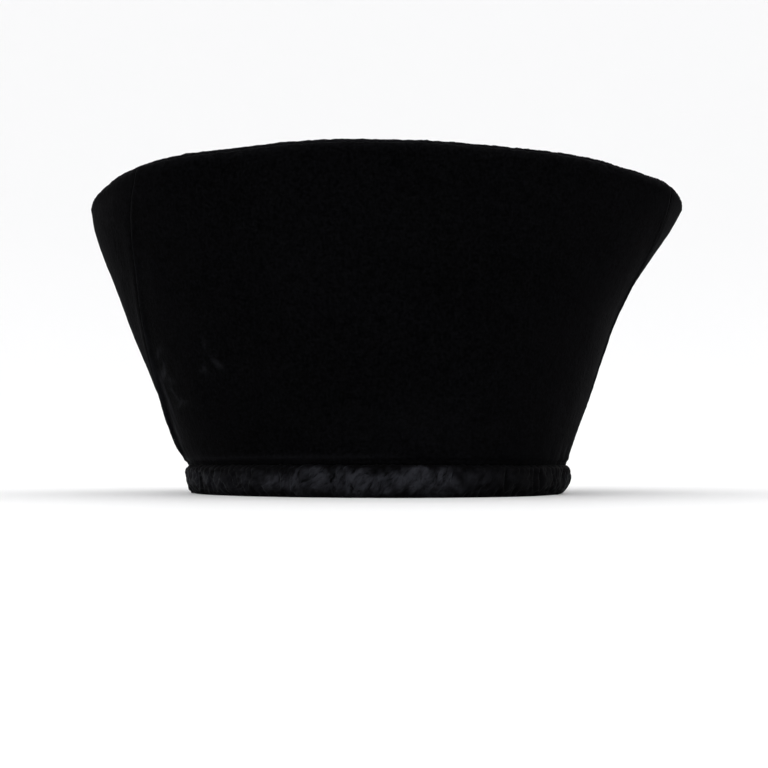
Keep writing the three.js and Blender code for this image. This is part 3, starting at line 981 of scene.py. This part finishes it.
def velvet(name, standing, crushed, sheen, roughness, gloss, lying):
    """Velvet between its standing and its crushed colour. roughness is a pair for the same two,
    and lying says whether the pile of the whole piece lies down in streaks."""
    material, tree, shader = new_material(name)
    place = add_node(tree, "ShaderNodeTexCoord").outputs["Object"]
    share, height = lying_share(tree, place) if lying else standing_share(tree, place)
    colour = blend(tree, share, standing, crushed)
    rough = between(tree, share, (0, 1), roughness)
    bump = add_node(tree, "ShaderNodeBump", {"Height": height, **PILE_BUMP})
    tree.links.new(colour, shader.inputs["Base Color"])
    tree.links.new(rough, shader.inputs["Roughness"])
    tree.links.new(bump.outputs[0], shader.inputs["Normal"])
    shader.inputs["Specular IOR Level"].default_value = gloss
    shader.inputs["Sheen Weight"].default_value = sheen
    shader.inputs["Sheen Roughness"].default_value = SHEEN_ROUGHNESS
    shader.inputs["Sheen Tint"].default_value = SHEEN_TINT
    return material


# Both reach their crushed colour where the nap mark is high, and that mark carries painted highlights on
# the walls and painted sheen on the roll.
black_velvet = velvet(
    "black_velvet", standing=(0.0003, 0.0003, 0.0004), crushed=(0.034, 0.035, 0.04),
    sheen=0.01, roughness=(0.95, 0.6), gloss=0.011, lying=False,
)
lying_velvet = velvet(
    "lying_velvet", standing=(0.0004, 0.0004, 0.0005), crushed=(0.0165, 0.0172, 0.021),
    sheen=0.012, roughness=(0.9, 0.45), gloss=0.03, lying=True,
)
for piece in (velvet_front, velvet_back, velvet_crown):
    piece.data.materials.append(black_velvet)
velvet_roll.data.materials.append(lying_velvet)
print("materials:", black_velvet.name, lying_velvet.name)

# %% [markdown]
# ## Into the frame
# Each new piece stands for the imported solid of the same part, which is hidden, and rides with
# the hat's body.

# %% Tie the pieces to the frame
STANDS_FOR = [
    (velvet_front, "front_panel", "velvet"),
    (velvet_back, "back_panel", "velvet"),
    (velvet_crown, "crown_top", "velvet"),
    (velvet_roll, "brow_binding", "crushed_velvet"),
]
for piece, node, finish in STANDS_FOR:
    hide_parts(node)
    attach(piece, "root")
for piece, node, _ in STANDS_FOR:
    low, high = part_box(node)
    excess = [round((piece.dimensions[i] - (high - low)[i]) / MM, 1) for i in range(3)]
    print(piece.name, "is larger than its solid by", excess, "mm")

# %% [markdown]
# ## Floor and light
# A product picture stands on a pale sweep that hides the horizon. A flat disc would show a line
# where it ends, so the floor is a wide shallow bowl: level under the hat and the camera, and then
# rising ever more steeply, the same from every side. Black velvet shows only what gleams off it,
# so the light is large and soft: a white sky that fills the bowl, and three broad lamps.

# %% The sweep
SWEEP_LEVEL, SWEEP_OUT, SWEEP_RISE = 0.9, 4.5, 0.22
SWEEP_STEPS, SWEEP_SIDES = 60, 160


def sweep_floor():
    """A profile turned round the upright axis. It is level at first, and past that its height is
    the square of the way out times SWEEP_RISE."""
    reach = np.linspace(0, SWEEP_OUT, SWEEP_STEPS + 1)[1:]
    height = SWEEP_RISE * np.maximum(reach - SWEEP_LEVEL, 0) ** 2
    angle = np.linspace(0, 2 * math.pi, SWEEP_SIDES, endpoint=False)[:, None]
    x, y = np.cos(angle) * reach, np.sin(angle) * reach
    points = np.stack([x, y, np.broadcast_to(height, x.shape)], -1).reshape(-1, 3)
    numbers = np.arange(x.size).reshape(x.shape)
    middle = np.stack([numbers[:, 0], np.roll(numbers[:, 0], -1), np.full(SWEEP_SIDES, x.size)], -1)
    points = np.concatenate([points, [[0, 0, 0]]]) / MM
    return mesh_object("floor", points, [quads(numbers, around=1)[:, ::-1], middle[:, ::-1]], {})


floor = sweep_floor()
floor_paint, _, floor_shader = new_material("pale_floor")
floor_shader.inputs["Base Color"].default_value = (0.86, 0.86, 0.865, 1)
floor_shader.inputs["Roughness"].default_value = 0.7
floor_shader.inputs["Specular IOR Level"].default_value = 0.2
floor.data.materials.append(floor_paint)

# %% Lights
SKY_STRENGTH = 1.15


def soft_light(name, azimuth, elevation, distance, size, power):
    """A square area light that looks at the hat's middle."""
    a, e = math.radians(azimuth), math.radians(elevation)
    data = bpy.data.lights.new(name, "AREA")
    data.size, data.energy = size, power
    light = bpy.data.objects.new(name, data)
    back = Vector((math.sin(a) * math.cos(e), -math.cos(a) * math.cos(e), math.sin(e)))
    light.location = Vector((0, 0, HEIGHT * MM / 2)) + back * distance
    light.rotation_mode = "QUATERNION"
    light.rotation_quaternion = (-back).to_track_quat("-Z", "Y")
    bpy.context.scene.collection.objects.link(light)
    return light


soft_light("key", azimuth=-35, elevation=35, distance=1.5, size=1.2, power=5)
soft_light("fill", azimuth=50, elevation=20, distance=1.7, size=1.2, power=2)
soft_light("top", azimuth=170, elevation=65, distance=1.6, size=1.4, power=3)
world = bpy.data.worlds.new("studio")
world.use_nodes = True
sky = world.node_tree.nodes["Background"]
sky.inputs["Color"].default_value = (1, 1, 1, 1)
sky.inputs["Strength"].default_value = SKY_STRENGTH
bpy.context.scene.world = world
bpy.context.scene.view_settings.view_transform = "Standard"
print("lamps:", ", ".join(light.name for light in bpy.data.lights))

# %% [markdown]
# ## The camera
# The photograph looks up at the hat from well below its brow, a little from the wearer's right.
# Here the hat rests on the floor, so the camera keeps that side and goes as low as the floor lets
# it. It stands close, so that the rim still arches over the hat.

# %% Camera
PICTURE = 768
HAT_WIDE_IN_PICTURE = 579
CAMERA_BEARING = -7.5
CAMERA_AWAY = 0.6
CAMERA_HIGH = 0.012
AIM_HIGH = 0.055

camera_data = bpy.data.cameras.new("camera")
camera = bpy.data.objects.new("camera", camera_data)
bpy.context.scene.collection.objects.link(camera)
angle = math.radians(CAMERA_BEARING)
camera.location = (CAMERA_AWAY * math.sin(angle), -CAMERA_AWAY * math.cos(angle), CAMERA_HIGH)
aim = Vector((0, 0, AIM_HIGH)) - camera.location
camera.rotation_mode = "QUATERNION"
camera.rotation_quaternion = aim.to_track_quat("-Z", "Y")
view_wide = 2 * RIM_HALF[0] * MM * PICTURE / HAT_WIDE_IN_PICTURE
camera_data.lens = camera_data.sensor_width * CAMERA_AWAY / view_wide
camera_data.clip_start = 0.01
bpy.context.scene.camera = camera
print("lens", round(camera_data.lens, 1), "mm")
